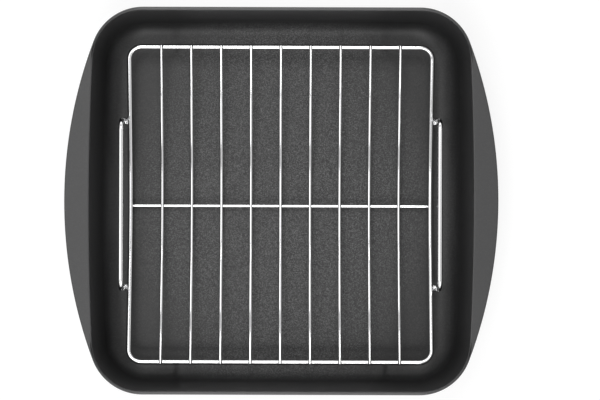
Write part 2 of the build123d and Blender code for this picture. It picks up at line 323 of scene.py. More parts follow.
def coating_material(finishes, sizes):
    """Satin non-stick coating: a grainy floor that fades out up the smoother walls, its paler flecks partly
    grain and partly painted glints, with painted shade toward the floor's corners and sides and painted
    sheen on the rim, the flange tops and the upper side walls.
    """
    graph = Graph(bpy.data.materials.new("non_stick"))
    place = graph.add("ShaderNodeTexCoord", output="Object")
    across, along, height = graph.split(place)
    to_side = (across / LIT_HALF_WIDTH).power(2.0)
    to_end = (along / LIT_HALF_LENGTH).power(2.0)
    at_side = (across / SIDE_FADE_START).power(6.0)
    floor_share = (1.0 - (height - sizes.floor_thickness) / sizes.side_fillet).clamped()
    # 1 on the flat top and down through its rounds, 0 one more edge drop below: where the painted sheen
    # lies.
    top_sheen_share = ((height - PAN_HEIGHT) / sizes.edge_drop + 2.0).clamped()
    # 1 at the rim, 0 at half the pan's height: with the sides' share, where the painted light on the walls
    # lies.
    wall_light_share = ((height - PAN_HEIGHT) / (PAN_HEIGHT / 2) + 1.0).clamped()
    rim_share = graph.add("ShaderNodeAttribute", {"attribute_name": RIM_ATTRIBUTE}, output="Fac")
    cell_sockets = {"Vector": place, "Scale": COATING_GRAINS}
    cells = graph.add("ShaderNodeTexVoronoi", sockets=cell_sockets, output="Color")
    paleness, smoothness, _ = graph.split(cells)
    cloud = graph.noise(place, COATING_CLOUDS, 3.0)
    # Painted glints and painted light on the floor, fading to painted shade toward its corners and sides.
    floor_grain_and_glint = floor_share * lit_floor_share(to_side, to_end, at_side) * finishes.floor_grain_and_glint
    strength = (finishes.wall_grain + floor_grain_and_glint + rim_share * finishes.rim_grain_and_sheen).clamped()
    # Painted sheen on the rim band, the flange tops and the upper side walls.
    painted_sheen = (top_sheen_share * finishes.painted_top_sheen).at_least(rim_share * finishes.painted_rim_band_sheen)
    painted_sheen = painted_sheen.at_least(wall_light_share * to_side * finishes.painted_wall_light)
    # Paler flecks: grain, with painted glints where the strength rises.
    fleck_and_glint = paleness.power(GRAIN_CONTRAST) * strength
    tone = graph.blend(fleck_and_glint, rgba(finishes.coating), rgba(finishes.coating_fleck_and_glint))
    tone = graph.blend(painted_sheen, tone, rgba(finishes.painted_sheen_tone))
    grain_roughness = (smoothness - 0.5) * strength * GRAIN_ROUGHNESS
    roughness = finishes.coating_roughness + grain_roughness + (cloud - 0.5) * CLOUD_ROUGHNESS
    relief = (paleness + smoothness) * strength
    constants = {"IOR": 1.5, "Specular IOR Level": 0.35}
    return surface(tone, roughness, relief, GRAIN_DEPTH, constants)


# Finish of the plating and the welds, with marks counted per metre

HEAT_REACH = 6 * MM
HEAT_TINT = 0.35
HEAT_ROUGHNESS = 0.06
DRAWN_MARKS = 420.0
DRAWN_DEPTH = 0.01 * MM
PLATING_MOTTLE = 60.0
PLATING_MOTTLE_ROUGHNESS = 0.06
WELD_RIPPLES = 1300.0
RIPPLE_DEPTH = 0.06 * MM
WELD_MOTTLE = 500.0
WELD_MOTTLE_ROUGHNESS = 0.2


def plating_material(finishes):
    """Bright plated wire, a little duller where it was welded to the frame's end wires."""
    graph = Graph(bpy.data.materials.new("plating"))
    place = graph.add("ShaderNodeTexCoord", output="Object")
    along = graph.split(place)[1]
    from_end_wire = abs(abs(along - RACK_MIDDLE.y) - LOOP_LENGTH / 2)
    heat = (1.0 - from_end_wire / HEAT_REACH).clamped()
    drawn = graph.noise(place, DRAWN_MARKS, 2.0)
    mottle = graph.noise(place, PLATING_MOTTLE, 3.0)
    tone = graph.blend(heat * HEAT_TINT, rgba(finishes.plating), rgba(finishes.weld))
    roughness = finishes.plating_roughness + (mottle - 0.5) * PLATING_MOTTLE_ROUGHNESS
    roughness = roughness + heat * HEAT_ROUGHNESS
    return surface(tone, roughness, drawn, DRAWN_DEPTH, {"Metallic": 1.0})


def weld_material(finishes):
    """Plating over the rougher skin of a weld."""
    graph = Graph(bpy.data.materials.new("weld_bead"))
    place = graph.add("ShaderNodeTexCoord", output="Object")
    ripple = graph.noise(place, WELD_RIPPLES, 2.0)
    mottle = graph.noise(place, WELD_MOTTLE, 2.0)
    tone = graph.blend(mottle, rgba(finishes.weld), rgba(finishes.plating))
    roughness = finishes.weld_roughness + (mottle - 0.5) * WELD_MOTTLE_ROUGHNESS
    return surface(tone, roughness, ripple, RIPPLE_DEPTH, {"Metallic": 1.0})


def plating():
    """The wires' material, made when it is first asked for."""
    return bpy.data.materials.get("plating") or plating_material(bpy.context.scene.pan_finishes)


def weld_plating():
    """The welds' material, made when it is first asked for."""
    return bpy.data.materials.get("weld_bead") or weld_material(bpy.context.scene.pan_finishes)


# Placing of the pieces


def add_piece(name, mesh, material, body, nodes=()):
    """Link a finished mesh, give it its material, hang it on its body, and hide and check any nodes that it
    stands for.
    """
    piece = bpy.data.objects.new(name, mesh)
    bpy.context.scene.collection.objects.link(piece)
    if material.name not in [held.name for held in mesh.materials if held]:
        mesh.materials.clear()
        mesh.materials.append(material)
    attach(piece, body)
    if nodes:
        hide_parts(*nodes)
        check_fit(piece, nodes)
    return piece


FIT_PLAY = 0.35 * MM


def check_fit(piece, nodes):
    """Stop if a piece isn't the size of the nodes that it stands for."""
    points = [vertex.co for vertex in piece.data.vertices]
    for axis in range(3):
        low = min(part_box(node)[0][axis] for node in nodes)
        high = max(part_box(node)[1][axis] for node in nodes)
        piece_low = min(point[axis] for point in points)
        piece_high = max(point[axis] for point in points)
        if abs(piece_low - low) > FIT_PLAY or abs(piece_high - high) > FIT_PLAY:
            found = f"{piece.name} is {piece_low} to {piece_high} on axis {axis}"
            raise RuntimeError(f"{found}, not {low} to {high}")


# Rings of the casting

END_STEPS = 10
CORNER_STEPS = 26
SIDE_STEPS = 20
FILLET_STEPS = 18
WALL_STEPS = 10
ROUND_STEPS = 8
FLANGE_STEPS = 8
BLEND_STEPS = 6
SHELL_STEPS = 5
FLAT_SHARES = (0.04, 0.2, 0.4, 0.6, 0.8, 0.93)
ROOT_BLEND_START = 0.72
SAME_HEIGHT = 0.001 * MM
SAME_PLACE = 0.001 * MM


def outline(width, depth, corner_radius, side_radius):
    """One ring of the pan: straight ends, round corners and bowed sides, always as many points."""
    side_centre = width / 2 - side_radius
    corner_y = depth / 2 - corner_radius
    corner_x = side_centre + sqrt((side_radius - corner_radius) ** 2 - corner_y**2)
    turn = atan2(corner_y, corner_x - side_centre)
    quarter = []
    for step in range(END_STEPS):
        quarter.append((corner_x * step / END_STEPS, depth / 2))
    for step in range(CORNER_STEPS):
        angle = pi / 2 - (pi / 2 - turn) * step / CORNER_STEPS
        quarter.append((corner_x + corner_radius * cos(angle), corner_y + corner_radius * sin(angle)))
    for step in range(SIDE_STEPS + 1):
        angle = turn * (1 - step / SIDE_STEPS)
        quarter.append((side_centre + side_radius * cos(angle), side_radius * sin(angle)))
    right_half = quarter[:-1] + [(x, -y) for x, y in reversed(quarter)]
    left_half = [(-x, y) for x, y in reversed(right_half)]
    return right_half[:-1] + left_half[:-1]


def angles(first, last, steps):
    """Evenly spaced angles, both ends counted."""
    return [first + (last - first) * step / steps for step in range(steps + 1)]


def lifted(ring, z):
    """A flat outline laid at a height."""
    return [Vector((x, y, z)) for x, y in ring]


def between(first, second, share):
    """A ring part way between two others."""
    return [a.lerp(b, share) for a, b in zip(first, second)]


def shrunk(ring, share):
    """A flat ring drawn in towards the middle."""
    return [Vector((point.x * share, point.y * share, point.z)) for point in ring]


def fillet_inset(radius, draft, height):
    """How far a fillet stands in from a leaning wall, at a height above the flat that it runs into."""
    rise = min(height, radius * (1 - sin(draft)))
    angle = asin(1 - rise / radius)
    return radius / cos(draft) - radius * tan(draft) - radius * cos(angle) + rise * tan(draft)


class PanRings:
    """Rings of the casting, stretch by stretch."""

    def __init__(self, sizes):
        self.sizes = sizes
        self.mouth_length = PAN_LENGTH - 2 * sizes.rim_band
        self.cavity_depth = PAN_HEIGHT - sizes.floor_thickness
        wall = sizes.rim_band - sizes.rim_lip
        self.shell_width = sizes.mouth_width + 2 * wall
        self.shell_length = self.mouth_length + 2 * wall
        self.shell_corner = sizes.mouth_corner + wall
        self.inner_draft = (sizes.side_draft + sizes.end_draft) / 2
        self.root_depth = sizes.flange_thickness + sizes.root_depth
        self.blend_end_z = PAN_HEIGHT - self.root_depth - sizes.root_blend

    def inside(self, z, side_inset=0.0, end_inset=0.0):
        """The cavity at a height, drawn in by the fillet at the floor or out by the round at the mouth."""
        sizes = self.sizes
        depth = PAN_HEIGHT - z
        corner_share = depth / self.cavity_depth
        corner = sizes.mouth_corner + (sizes.floor_corner - sizes.mouth_corner) * corner_share
        ring_width = sizes.mouth_width - 2 * depth * tan(sizes.side_draft) - 2 * side_inset
        ring_length = self.mouth_length - 2 * depth * tan(sizes.end_draft) - 2 * end_inset
        corner -= (side_inset + end_inset) / 2
        return lifted(outline(ring_width, ring_length, corner, sizes.side_bow), z)

    def outside(self, depth, z, side_inset=0.0, end_inset=0.0):
        """The outside of the walls at a depth below the rim, laid at a height."""
        sizes = self.sizes
        corner_share = depth / PAN_HEIGHT
        corner = self.shell_corner + (sizes.floor_corner - sizes.mouth_corner) * corner_share
        ring_width = self.shell_width - 2 * depth * tan(sizes.side_draft) * sizes.outside_draft_share
        ring_length = self.shell_length - 2 * depth * tan(sizes.end_draft) * sizes.outside_draft_share
        ring_width -= 2 * side_inset
        ring_length -= 2 * end_inset
        corner -= (side_inset + end_inset) / 2
        return lifted(outline(ring_width, ring_length, corner, sizes.side_bow), z)

    def rim(self, inset, z):
        """The edge of the rim and flanges, drawn in by an inset."""
        corner = self.sizes.corner_radius - inset
        bow = self.sizes.flange_arc - inset
        return lifted(outline(PAN_WIDTH - 2 * inset, PAN_LENGTH - 2 * inset, corner, bow), z)

    def floor(self):
        """The flat of the floor and the fillet round it."""
        sizes = self.sizes
        fillet = []
        for angle in angles(pi / 2, self.inner_draft, FILLET_STEPS):
            rise = sizes.side_fillet * (1 - sin(angle))
            side = fillet_inset(sizes.side_fillet, sizes.side_draft, rise)
            end = fillet_inset(sizes.end_fillet, sizes.end_draft, rise)
            fillet.append(self.inside(sizes.floor_thickness + rise, side, end))
        return [shrunk(fillet[0], share) for share in FLAT_SHARES] + fillet

    def walls(self):
        """The inner walls up to the mouth, and the round at the mouth."""
        sizes = self.sizes
        foot = sizes.floor_thickness + sizes.side_fillet * (1 - sin(self.inner_draft))
        top = PAN_HEIGHT - sizes.edge_drop
        rings = [self.inside(foot + (top - foot) * step / WALL_STEPS) for step in range(1, WALL_STEPS)]
        for angle in angles(0, pi / 2, ROUND_STEPS):
            outset = sizes.edge_round * (1 - cos(angle))
            rings.append(self.inside(top + sizes.edge_drop * sin(angle), -outset, -outset))
        return rings

    def flange(self, mouth_edge):
        """The flat top of the rim and flanges, and the rounds over and under their edge."""
        sizes = self.sizes
        edge = self.rim(sizes.edge_round, PAN_HEIGHT)
        underside = PAN_HEIGHT - sizes.flange_thickness
        rings = [between(mouth_edge, edge, step / FLANGE_STEPS) for step in range(1, FLANGE_STEPS)]
        for angle in angles(0, pi / 2, ROUND_STEPS):
            inset = sizes.edge_round * (1 - sin(angle))
            rings.append(self.rim(inset, PAN_HEIGHT - sizes.edge_drop * (1 - cos(angle))))
        for angle in angles(0, pi / 2, ROUND_STEPS):
            inset = sizes.under_round * (1 - cos(angle))
            rings.append(self.rim(inset, underside + sizes.under_round * (1 - sin(angle))))
        return rings

    def root(self, flange_foot):
        """The thickened root under the flanges, blended softly into the outer walls."""
        root_foot = self.outside(self.root_depth, PAN_HEIGHT - self.root_depth)
        blend_end = self.outside(self.root_depth + self.sizes.root_blend, self.blend_end_z)
        blend_start = between(flange_foot, root_foot, ROOT_BLEND_START)
        rings = [between(flange_foot, blend_start, 0.5)]
        for step in range(BLEND_STEPS + 1):
            share = step / BLEND_STEPS
            above = between(blend_start, root_foot, share)
            below = between(root_foot, blend_end, share)
            rings.append(between(above, below, share))
        return rings

    def shell(self):
        """The outer walls, the fillet at their foot and the flat of the base."""
        sizes = self.sizes
        side_draft = atan(tan(sizes.side_draft) * sizes.outside_draft_share)
        end_draft = atan(tan(sizes.end_draft) * sizes.outside_draft_share)
        mean_draft = (side_draft + end_draft) / 2
        top = self.blend_end_z
        foot = sizes.base_fillet * (1 - sin(mean_draft))
        rings = []
        for step in range(1, SHELL_STEPS):
            z = top + (foot - top) * step / SHELL_STEPS
            rings.append(self.outside(PAN_HEIGHT - z, z))
        for angle in angles(mean_draft, pi / 2, FILLET_STEPS):
            z = sizes.base_fillet * (1 - sin(angle))
            side = fillet_inset(sizes.base_fillet, side_draft, z)
            end = fillet_inset(sizes.base_fillet, end_draft, z)
            rings.append(self.outside(PAN_HEIGHT - z, z, side, end))
        return rings + [shrunk(rings[-1], share) for share in reversed(FLAT_SHARES)]


def casting_rings(sizes):
    """All rings of the casting, from the middle of the floor over the rim to the middle of the base."""
    pan = PanRings(sizes)
    rings = pan.floor() + pan.walls()
    rings += pan.flange(rings[-1])
    rings += pan.root(rings[-1])
    return rings + pan.shell()


def mark_rim(mesh, rings, sizes):
    """Give the casting 1 on the narrow rim, falling to 0 on the wide flanges and on the walls."""
    flat = [ring for ring in rings if ring[0].z > PAN_HEIGHT - SAME_HEIGHT]
    widths = [(mouth - edge).length for mouth, edge in zip(flat[0], flat[-1])]
    narrow = [min(1.0, max(0.0, (sizes.rim_fade - width) / sizes.rim_fade)) for width in widths]
    lowest = PAN_HEIGHT - sizes.edge_drop - SAME_HEIGHT
    shares = [share if ring[0].z > lowest else 0.0 for ring in rings for share in narrow]
    mesh.attributes.new(RIM_ATTRIBUTE, "FLOAT", "POINT").data.foreach_set("value", shares)


def skin(rings, name, closed_ends=True):
    """A mesh over a stack of closed rings, with a cap over the first and the last."""
    mesh = bpy.data.meshes.new(name)
    shape = bmesh.new()
    rows = [[shape.verts.new(point) for point in ring] for ring in rings]
    count = len(rows[0])
    for lower, upper in zip(rows, rows[1:]):
        for index in range(count):
            after = (index + 1) % count
            shape.faces.new((lower[index], lower[after], upper[after], upper[index]))
    if closed_ends:
        shape.faces.new(rows[0])
        shape.faces.new(rows[-1])
    bmesh.ops.recalc_face_normals(shape, faces=shape.faces)
    for face in shape.faces:
        face.smooth = True
    shape.to_mesh(mesh)
    shape.free()
    return mesh


def close_seam(mesh):
    """Merge the first and last ring of a shape that runs back into itself."""
    shape = bmesh.new()
    shape.from_mesh(mesh)
    bmesh.ops.remove_doubles(shape, verts=shape.verts, dist=SAME_PLACE)
    bmesh.ops.recalc_face_normals(shape, faces=shape.faces)
    shape.to_mesh(mesh)
    shape.free()


# Bent wire, eyes and weld beads

BEND_STEP = radians(5)
LOOP_STEP = radians(3)
VEE_STEP = radians(1.2)
CUT_END_WIDTH = 0.84
EYE_STEPS = 40
EYE_ROUND_STEPS = 4
BEAD_SEGMENTS = 20
BEAD_RINGS = 12


def bent_path(points, bends, widths, step=BEND_STEP):
    """Straight runs joined by arcs: places, each with its share of the wire's full width."""
    places = []
    count = len(points)
    for index, corner in enumerate(points):
        bend = bends[index]
        if bend == 0:
            places.append((corner, widths[index]))
            continue
        before = (points[index - 1] - corner).normalized()
        after = (points[(index + 1) % count] - corner).normalized()
        inner = before.angle(after)
        turn = pi - inner
        reach = bend / tan(inner / 2)
        centre = corner + (before + after).normalized() * (bend / sin(inner / 2))
        start = corner + before * reach
        arm = start - centre
        axis = before.cross(after).normalized()
        arc_steps = max(2, round(turn / step))
        for arc_step in range(arc_steps + 1):
            angle = -turn * arc_step / arc_steps
            side = arm * cos(angle) + axis.cross(arm) * sin(angle)
            places.append((centre + side, widths[index]))
    return places


def with_cut_ends(places, chamfer):
    """The path with a small chamfer at both cut ends."""
    for end, inner in ((0, 1), (-1, -2)):
        place, width = places[end]
        inward = (places[inner][0] - place).normalized()
        extra = (place + inward * chamfer, width)
        places[end] = (place, width * CUT_END_WIDTH)
        places.insert(1 if end == 0 else len(places) - 1, extra)
    return places


def input_id(tree, name):
    """The identifier of a tree's named input, which its modifier is set by."""
    inputs = [item for item in tree.interface.items_tree if item.in_out == "INPUT"]
    return next(item.identifier for item in inputs if item.name == name)


def new_tree(name, inputs):
    """A Geometry Nodes tree with named inputs and a shape as its output."""
    tree = bpy.data.node_groups.new(name, "GeometryNodeTree")
    for input_name, kind in inputs.items():
        tree.interface.new_socket(input_name, in_out="INPUT", socket_type=f"NodeSocket{kind}")
    tree.interface.new_socket("Shape", in_out="OUTPUT", socket_type="NodeSocketGeometry")
    return tree, tree.nodes.new("NodeGroupInput").outputs


def end_tree(tree, shape, material):
    """Make what a tree has drawn real, give it its material and hand it out."""
    realize = tree.nodes.new("GeometryNodeRealizeInstances")
    finish = tree.nodes.new("GeometryNodeSetMaterial")
    result = tree.nodes.new("NodeGroupOutput")
    tree.links.new(shape, realize.inputs["Geometry"])
    tree.links.new(realize.outputs["Geometry"], finish.inputs["Geometry"])
    tree.links.new(material, finish.inputs["Material"])
    tree.links.new(finish.outputs["Geometry"], result.inputs["Shape"])
    return tree


def wire_tree():
    """Geometry Nodes that draw a round wire of a given diameter along a curve."""
    inputs = {"Route": "Geometry", "Diameter": "Float", "Sides": "Int", "Finish": "Material"}
    tree, source = new_tree("round_wire", inputs)
    half = tree.nodes.new("ShaderNodeMath")
    half.operation = "MULTIPLY"
    half.inputs[1].default_value = 0.5
    profile = tree.nodes.new("GeometryNodeCurvePrimitiveCircle")
    width = tree.nodes.new("GeometryNodeInputRadius")
    tube = tree.nodes.new("GeometryNodeCurveToMesh")
    tube.inputs["Fill Caps"].default_value = True
    smooth = tree.nodes.new("GeometryNodeSetShadeSmooth")
    links = tree.links
    links.new(source["Diameter"], half.inputs[0])
    links.new(half.outputs[0], profile.inputs["Radius"])
    links.new(source["Sides"], profile.inputs["Resolution"])
    links.new(source["Route"], tube.inputs["Curve"])
    links.new(profile.outputs["Curve"], tube.inputs["Profile Curve"])
    links.new(width.outputs["Radius"], tube.inputs["Scale"])
    links.new(tube.outputs["Mesh"], smooth.inputs["Geometry"])
    return end_tree(tree, smooth.outputs["Geometry"], source["Finish"])


def bead_tree():
    """Geometry Nodes that set a flattened weld bead on every point."""
    inputs = {
        "Places": "Geometry",
        "Half Size": "Vector",
        "Segments": "Int",
        "Rings": "Int",
        "Finish": "Material",
    }
    tree, source = new_tree("weld_beads", inputs)
    ball = tree.nodes.new("GeometryNodeMeshUVSphere")
    ball.inputs["Radius"].default_value = 1.0
    smooth = tree.nodes.new("GeometryNodeSetShadeSmooth")
    scatter = tree.nodes.new("GeometryNodeInstanceOnPoints")
    links = tree.links
    links.new(source["Segments"], ball.inputs["Segments"])
    links.new(source["Rings"], ball.inputs["Rings"])
    links.new(ball.outputs["Mesh"], smooth.inputs["Geometry"])
    links.new(smooth.outputs["Geometry"], scatter.inputs["Instance"])
    links.new(source["Places"], scatter.inputs["Points"])
    links.new(source["Half Size"], scatter.inputs["Scale"])
    return end_tree(tree, scatter.outputs["Instances"], source["Finish"])


def grown(carrier, tree, values):
    """Run a tree on an object, keep the result as a plain mesh, and remove the object."""
    modifier = carrier.modifiers.new("shape", "NODES")
    modifier.node_group = tree
    for name, value in values.items():
        modifier[input_id(tree, name)] = value
    depsgraph = bpy.context.evaluated_depsgraph_get()
    depsgraph.update()
    mesh = bpy.data.meshes.new_from_object(carrier.evaluated_get(depsgraph), depsgraph=depsgraph)
    carrier.modifiers.clear()
    bpy.data.objects.remove(carrier)
    return mesh


def shared_tree(name, build):
    """A node tree that is built once and used again."""
    return bpy.data.node_groups.get(name) or build()


def wire_mesh(name, places, diameter, sides, material, cyclic=False):
    """A round wire along a bent path."""
    curve = bpy.data.curves.new(name, "CURVE")
    curve.dimensions = "3D"
    spline = curve.splines.new("POLY")
    spline.points.add(len(places) - 1)
    for point, (place, width) in zip(spline.points, places):
        point.co = (*place, 1.0)
        point.radius = width
    spline.use_cyclic_u = cyclic
    carrier = bpy.data.objects.new(name, curve)
    bpy.context.scene.collection.objects.link(carrier)
    values = {"Diameter": diameter, "Sides": sides, "Finish": material}
    return grown(carrier, shared_tree("round_wire", wire_tree), values)


def bead_mesh(name, places, half_size, material):
    """Weld beads of one size at a list of places."""
    mesh = bpy.data.meshes.new(name)
    mesh.from_pydata(places, [], [])
    carrier = bpy.data.objects.new(name, mesh)
    bpy.context.scene.collection.objects.link(carrier)
    values = {"Half Size": half_size, "Segments": BEAD_SEGMENTS, "Rings": BEAD_RINGS, "Finish": material}
    return grown(carrier, shared_tree("weld_beads", bead_tree), values)


# Places on the rack


def on_rack(x, y, z):
    """A point given from the rack's middle in plan."""
    return Vector((RACK_MIDDLE.x + x, RACK_MIDDLE.y + y, z))


def at_four_corners(x, y, z):
    """The same place at each of the rack's four corners."""
    return [on_rack(side * x, end * y, z) for side in (1, -1) for end in (1, -1)]


def cross_wire_ends():
    """Where the cross wire butts against the loop's two sides."""
    return [Vector((x, CROSS_WIRE.y, CROSS_WIRE.z)) for x in (CROSS_LOW.x, CROSS_HIGH.x)]


def thin_wire_x(number):
    """Place across the rack of a thin wire, counted from 0 at the left."""
    first = (WIRE_LOW.x + WIRE_HIGH.x) / 2
    last = (LAST_WIRE_LOW.x + LAST_WIRE_HIGH.x) / 2
    return first + (last - first) * number / (THIN_WIRE_COUNT - 1) - RACK_MIDDLE.x


def thin_wire_lift(sizes):
    """Height of a thin wire's middle line over the frame's, square to both."""
    return (LOOP_WIRE + THIN_WIRE) / 2 - sizes.weld_sink


def loop_vertex(sizes):
    """Where the middle lines of the frame's two arms would meet."""
    return LOOP_FLOOR - sizes.vee_radius * (1 / cos(sizes.vee_slope) - 1)


# Building steps


class PanOperator(bpy.types.Operator):
    """Build the casting with its bowed flanges"""

    bl_idname = "roasting_pan.casting"
    bl_label = "Build casting"

    def execute(self, context):
        scene = context.scene
        material = coating_material(scene.pan_finishes, scene.pan_sizes)
        rings = casting_rings(scene.pan_sizes)
        mesh = skin(rings, "pan_casting")
        mark_rim(mesh, rings, scene.pan_sizes)
        add_piece("pan_casting", mesh, material, "pan", ["roasting_pan"])
        return {"FINISHED"}


class FrameLoopOperator(bpy.types.Operator):
    """Bend the rack's closed loop of thick wire"""

    bl_idname = "roasting_pan.frame_loop"
    bl_label = "Build frame loop"

    def execute(self, context):
        sizes = context.scene.rack_sizes
        half_x = LOOP_WIDTH / 2
        half_y = LOOP_LENGTH / 2
        vertex = loop_vertex(sizes)
        corners = [
            on_rack(-half_x, -half_y, LOOP_TOP),
            on_rack(half_x, -half_y, LOOP_TOP),
            on_rack(half_x, 0, vertex),
            on_rack(half_x, half_y, LOOP_TOP),
            on_rack(-half_x, half_y, LOOP_TOP),
            on_rack(-half_x, 0, vertex),
        ]
        side_bends = [sizes.loop_corner, sizes.loop_corner, sizes.vee_radius]
        places = bent_path(corners, side_bends + side_bends, [1] * 6, LOOP_STEP)
        mesh = wire_mesh("frame_loop", places, LOOP_WIRE, sizes.wire_sides, plating(), cyclic=True)
        add_piece("frame_loop", mesh, plating(), "rack", ["rack_frame"])
        return {"FINISHED"}


class ThinWiresOperator(bpy.types.Operator):
    """Lay the nine thin wires over the loop, and the cross wire under them"""

    bl_idname = "roasting_pan.thin_wires"
    bl_label = "Build thin wires"

    def execute(self, context):
        sizes = context.scene.rack_sizes
        tip_y = (LOOP_LENGTH + LOOP_WIRE) / 2 - sizes.tip_inset
        lift = thin_wire_lift(sizes)
        vertex = loop_vertex(sizes) + lift / cos(sizes.vee_slope)
        tip_z = vertex + tip_y * tan(sizes.vee_slope)
        for number in range(THIN_WIRE_COUNT):
            x = thin_wire_x(number)
            corners = [on_rack(x, -tip_y, tip_z), on_rack(x, 0, vertex), on_rack(x, tip_y, tip_z)]
            places = bent_path(corners, [0, sizes.vee_radius - lift, 0], [1] * 3, VEE_STEP)
            places = with_cut_ends(places, sizes.end_round)
            name = f"thin_wire_{number + 1}"
            mesh = wire_mesh(name, places, THIN_WIRE, sizes.wire_sides, plating())
            add_piece(name, mesh, plating(), "rack", [f"rack_wire_{number + 1}"])
        places = bent_path(cross_wire_ends(), [0, 0], [1, 1])
        mesh = wire_mesh("cross_wire", places, THIN_WIRE, sizes.wire_sides, plating())
        add_piece("cross_wire", mesh, plating(), "rack", ["rack_cross_wire"])
        return {"FINISHED"}


class FootRailsOperator(bpy.types.Operator):
    """Bend the two foot rails under the loop's end wires"""

    bl_idname = "roasting_pan.foot_rails"
    bl_label = "Build foot rails"

    def execute(self, context):
        sizes = context.scene.rack_sizes
        half_x = (RAIL_HIGH.x - RAIL_LOW.x - sizes.foot_wire) / 2
        rail_z = RAIL_LOW.z + sizes.foot_wire / 2
        rise = LOOP_TOP - rail_z
        weld_share = (LOOP_WIRE / 2 - sizes.weld_sink) / sqrt(rise**2 + sizes.foot_splay**2)
        for name, end in (("back", 1), ("front", -1)):
            top_y = end * (LOOP_LENGTH / 2 + sizes.foot_splay * weld_share)
            top_z = LOOP_TOP - rise * weld_share
            low_y = end * (LOOP_LENGTH / 2 + sizes.foot_splay)
            corners = [
                on_rack(-half_x, top_y, top_z),
                on_rack(-half_x, low_y, rail_z),
                on_rack(half_x, low_y, rail_z),
                on_rack(half_x, top_y, top_z),
            ]
            places = bent_path(corners, [0, sizes.foot_bend, sizes.foot_bend, 0], [1] * 4)
            mesh = wire_mesh(f"{name}_foot", places, sizes.foot_wire, sizes.wire_sides, plating())
            add_piece(f"{name}_foot", mesh, plating(), "rack", [f"{name}_foot_rail"])
        return {"FINISHED"}


class HandlesOperator(bpy.types.Operator):
    """Bend the two handles and turn the eyes that they swing in"""

    bl_idname = "roasting_pan.handles"
    bl_label = "Build handles and eyes"

    def execute(self, context):
        sizes = context.scene.rack_sizes
        for side_name, side in (("left", -1), ("right", 1)):
            x = side * PIVOT_FROM_MIDDLE
            self.build_bail(side_name, x, sizes)
            for end_name, end in (("back", 1), ("front", -1)):
                self.build_eye(f"{side_name}_{end_name}", x, end * EYE_FROM_MIDDLE, sizes)
        return {"FINISHED"}

    def build_bail(self, side_name, x, sizes):
        """One handle: a pin in each eye, swelling into legs and a bar of the full wire."""
        pin_share = sizes.pin / BAIL_WIRE
        tip_y = EYE_FROM_MIDDLE - sizes.eye_length / 2 - sizes.pin_overhang
        tip = Vector((x, tip_y, PIVOT.z))
        foot = Vector((x, sizes.bail_foot_span / 2, PIVOT.z))
        shoulder = Vector((x, sizes.bail_top_span / 2, PIVOT.z + sizes.bail_height))
        leg = (shoulder - foot).normalized()
        half_path = [
            (tip, 0, pin_share),
            (foot, sizes.pin_bend, pin_share),
            (foot + leg * sizes.pin_leg, 0, pin_share),
            (foot + leg * (sizes.pin_leg + sizes.pin_taper), 0, 1),
            (shoulder, sizes.bail_corner, 1),
        ]
        back_half = [(on_rack(*place), bend, width) for place, bend, width in half_path]
        front_half = [(on_rack(p.x, -p.y, p.z), bend, width) for p, bend, width in reversed(half_path)]
        points, bends, widths = [list(column) for column in zip(*back_half, *front_half)]
        places = bent_path(points, bends, widths)
        places = with_cut_ends(places, sizes.end_round)
        name = f"{side_name}_bail_wire"
        mesh = wire_mesh(name, places, BAIL_WIRE, sizes.wire_sides, plating())
        add_piece(name, mesh, plating(), f"{side_name}_bail", [f"{side_name}_handle"])

    def build_eye(self, place_name, x, y, sizes):
        """One eye, shorter than its solid, because a weld bead stands for the solid's foot."""
        edge = sizes.eye_round
        outer = EYE_RADIUS - edge
        inner = sizes.eye_hole / 2 + edge
        back = sizes.eye_length / 2 - edge
        corners = ((outer, back), (inner, back), (inner, -back), (outer, -back))
        profile = []
        for quarter, (radius, offset) in enumerate(corners):
            for step in range(EYE_ROUND_STEPS + 1):
                angle = (quarter + step / EYE_ROUND_STEPS) * pi / 2
                profile.append((radius + edge * cos(angle), offset + edge * sin(angle)))
        rings = []
        for step in range(EYE_STEPS):
            turn = 2 * pi * step / EYE_STEPS
            rings.append([on_rack(x + r * cos(turn), y + o, PIVOT.z + r * sin(turn)) for r, o in profile])
        mesh = skin(rings + rings[:1], f"{place_name}_ring", closed_ends=False)
        close_seam(mesh)
        ring = add_piece(f"{place_name}_ring", mesh, plating(), "rack")
        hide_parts(f"{place_name}_eye")


# Welds, with the half sizes of their beads across, along and up

WELD_SIZES = {
    "end_welds": (1.75 * MM, 1.7 * MM, 0.75 * MM),
    "cross_welds": (1.6 * MM, 1.6 * MM, 0.7 * MM),
    "foot_welds": (2.0 * MM, 1.8 * MM, 0.8 * MM),
    "eye_welds": (1.1 * MM, 2.5 * MM, 1.3 * MM),
    "butt_welds": (0.7 * MM, 1.65 * MM, 1.55 * MM),
}
EYE_WELD_OUTSET = 0.5 * MM


